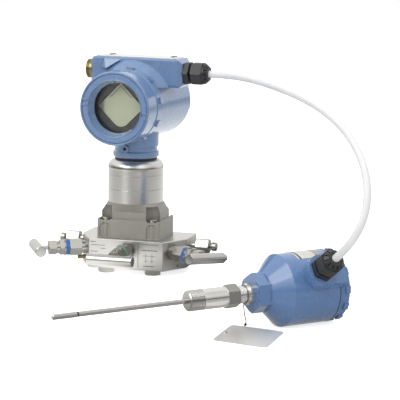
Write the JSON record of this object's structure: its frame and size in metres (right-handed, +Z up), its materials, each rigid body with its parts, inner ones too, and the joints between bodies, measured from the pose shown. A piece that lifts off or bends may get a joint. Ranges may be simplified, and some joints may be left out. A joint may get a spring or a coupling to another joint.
{
  "type": "multivariable transmitter",
  "caption": "Pressure and temperature transmitter: display housing on a valve manifold, cabled to a probe with a connection head.",
  "frame": {"origin": "centre of the manifold's underside, midway between the two bracket holes and on the module's axis", "axes": "+Z up along the pressure module; -Y out of the manifold's flat front face; +X towards the cable gland"},
  "size_m": [0.5212, 0.5673, 0.2878],
  "materials": {
    "blue_paint": "gloss enamel over a casting",
    "black_seal": "moulded rubber",
    "white_seal": "turned fluoropolymer",
    "clear_window": "clear polished glass",
    "black_plastic": "moulded nylon",
    "display_face": "grey-green liquid crystal face",
    "board_green": "potted circuit board",
    "terminal_plastic": "moulded terminal block",
    "plated_screws": "plated",
    "plate_steel": "thin brushed sheet",
    "plug_brass": "turned brass",
    "turned_steel": "turned and polished",
    "block_steel": "satin machined block",
    "base_grey": "warm grey cast base",
    "valve_steel": "turned bar",
    "handle_chrome": "polished bar",
    "green_band": "dyed band",
    "blue_band": "dyed band",
    "label_paper": "printed label",
    "cable_jacket": "smooth light jacket",
    "wire_steel": "soft tie wire"
  },
  "bodies": {
    "housing_body": {"housing": "blue_paint", "housing_set_screw": "plated_screws", "display_module": "black_plastic", "display_glass": "display_face", "electronics_board": "board_green", "terminal_block": "terminal_plastic", "terminal_screws": "plated_screws", "nameplate": "plate_steel", "nameplate_screws": "plated_screws", "conduit_plug": "plug_brass", "gland_body": "black_plastic", "gland_nut": "black_plastic", "connection_head": "blue_paint", "head_terminal_block": "terminal_plastic", "head_terminal_screws": "plated_screws", "head_label": "label_paper", "head_gland_body": "black_plastic", "head_gland_nut": "black_plastic", "union_nipple": "turned_steel", "spring_adapter": "turned_steel", "probe_spring": "turned_steel", "cable": "cable_jacket", "tag_wire_loop": "wire_steel", "tag_wire": "wire_steel", "id_tag": "plate_steel"},
    "wetside": {"manifold_block": "block_steel", "manifold_bolts": "turned_steel", "process_seals": "white_seal", "lock_pin": "plug_brass", "module_base": "base_grey", "sensor_module": "turned_steel", "neck_gasket": "black_seal", "packing_nuts": "valve_steel", "equalizer_bonnet": "valve_steel", "equalizer_band": "green_band", "high_side_bonnet": "valve_steel", "high_side_band": "blue_band", "low_side_bonnet": "valve_steel", "low_side_band": "blue_band", "left_vent_body": "valve_steel", "right_vent_body": "valve_steel"},
    "display_seal_body": {"display_cover_seal": "black_seal"},
    "display_cover_body": {"display_cover": "blue_paint", "display_window": "clear_window"},
    "terminal_seal_body": {"terminal_cover_seal": "black_seal"},
    "terminal_cover_body": {"terminal_cover": "blue_paint"},
    "head_seal_body": {"head_cover_seal": "black_seal"},
    "head_cover_body": {"head_cover": "blue_paint"},
    "probe_body": {"probe": "turned_steel"},
    "left_vent_screw_body": {"left_vent_screw": "valve_steel"},
    "right_vent_screw_body": {"right_vent_screw": "valve_steel"},
    "equalizer_tip_body": {"equalizer_valve_tip": "valve_steel"},
    "equalizer_handle_body": {"equalizer_stem": "handle_chrome", "equalizer_handle": "handle_chrome"},
    "high_side_tip_body": {"high_side_valve_tip": "valve_steel"},
    "high_side_handle_body": {"high_side_stem": "handle_chrome", "high_side_handle": "handle_chrome"},
    "low_side_tip_body": {"low_side_valve_tip": "valve_steel"},
    "low_side_handle_body": {"low_side_stem": "handle_chrome", "low_side_handle": "handle_chrome"}
  },
  "joints": [
    {"name": "housing_swivel", "type": "hinge", "parent": "housing_body", "child": "wetside", "pos_m": [0, 0, 0.145], "axis": [0, 0, 1], "range_deg": [-180, 180]},
    {"name": "display_cover_rise", "type": "slide", "parent": "housing_body", "child": "display_seal_body", "axis": [-0.0698, -0.9976, 0], "range_m": [0, 0.00788]},
    {"name": "display_cover_turn", "type": "hinge", "parent": "display_seal_body", "child": "display_cover_body", "pos_m": [-0.00223, -0.03192, 0.2162], "axis": [-0.0698, -0.9976, 0], "range_deg": [0, 1890]},
    {"name": "terminal_cover_rise", "type": "slide", "parent": "housing_body", "child": "terminal_seal_body", "axis": [0.0698, 0.9976, 0], "range_m": [0, 0.00788]},
    {"name": "terminal_cover_turn", "type": "hinge", "parent": "terminal_seal_body", "child": "terminal_cover_body", "pos_m": [0.00488, 0.06983, 0.2162], "axis": [0.0698, 0.9976, 0], "range_deg": [0, 1890]},
    {"name": "head_cover_rise", "type": "slide", "parent": "housing_body", "child": "head_seal_body", "axis": [0.7058, 0.7082, 0.0175], "range_m": [0, 0.00487]},
    {"name": "head_cover_turn", "type": "hinge", "parent": "head_seal_body", "child": "head_cover_body", "pos_m": [0.30977, -0.22947, 0.03671], "axis": [0.7058, 0.7082, 0.0175], "range_deg": [0, 1170]},
    {"name": "equalizer_valve_rise", "type": "slide", "parent": "wetside", "child": "equalizer_tip_body", "axis": [0, -1, 0], "range_m": [0, 0.00413]},
    {"name": "equalizer_valve_turn", "type": "hinge", "parent": "equalizer_tip_body", "child": "equalizer_handle_body", "pos_m": [0, -0.041, 0.0236], "axis": [0, -1, 0], "range_deg": [0, 1170]},
    {"name": "high_side_valve_rise", "type": "slide", "parent": "wetside", "child": "high_side_tip_body", "axis": [-0.8717, -0.49, 0], "range_m": [0, 0.00413]},
    {"name": "high_side_valve_turn", "type": "hinge", "parent": "high_side_tip_body", "child": "high_side_handle_body", "pos_m": [-0.0619, -0.0225, 0.0236], "axis": [-0.8717, -0.49, 0], "range_deg": [0, 1170]},
    {"name": "low_side_valve_rise", "type": "slide", "parent": "wetside", "child": "low_side_tip_body", "axis": [0.8717, -0.49, 0], "range_m": [0, 0.00413]},
    {"name": "low_side_valve_turn", "type": "hinge", "parent": "low_side_tip_body", "child": "low_side_handle_body", "pos_m": [0.0619, -0.0225, 0.0236], "axis": [0.8717, -0.49, 0], "range_deg": [0, 1170]},
    {"name": "left_vent_turn", "type": "hinge", "parent": "wetside", "child": "left_vent_screw_body", "pos_m": [-0.0723, 0.0126, 0.028], "axis": [-1, 0, 0], "range_deg": [0, 540]},
    {"name": "right_vent_turn", "type": "hinge", "parent": "wetside", "child": "right_vent_screw_body", "pos_m": [0.0723, 0.0126, 0.028], "axis": [1, 0, 0], "range_deg": [0, 540]},
    {"name": "probe_spring_travel", "type": "slide", "parent": "housing_body", "child": "probe_body", "axis": [0.7058, 0.7082, 0.0175], "range_m": [0, 0.012], "stiffness_N_per_m": 900, "springref_m": -0.008, "deforming": ["probe_spring"]}
  ],
  "couplings": [
    {"joint": "display_cover_rise", "follows": "display_cover_turn", "m_per_rad": 0.00023873},
    {"joint": "terminal_cover_rise", "follows": "terminal_cover_turn", "m_per_rad": 0.00023873},
    {"joint": "head_cover_rise", "follows": "head_cover_turn", "m_per_rad": 0.00023873},
    {"joint": "equalizer_valve_rise", "follows": "equalizer_valve_turn", "m_per_rad": 0.00020213},
    {"joint": "high_side_valve_rise", "follows": "high_side_valve_turn", "m_per_rad": 0.00020213},
    {"joint": "low_side_valve_rise", "follows": "low_side_valve_turn", "m_per_rad": 0.00020213}
  ]
}
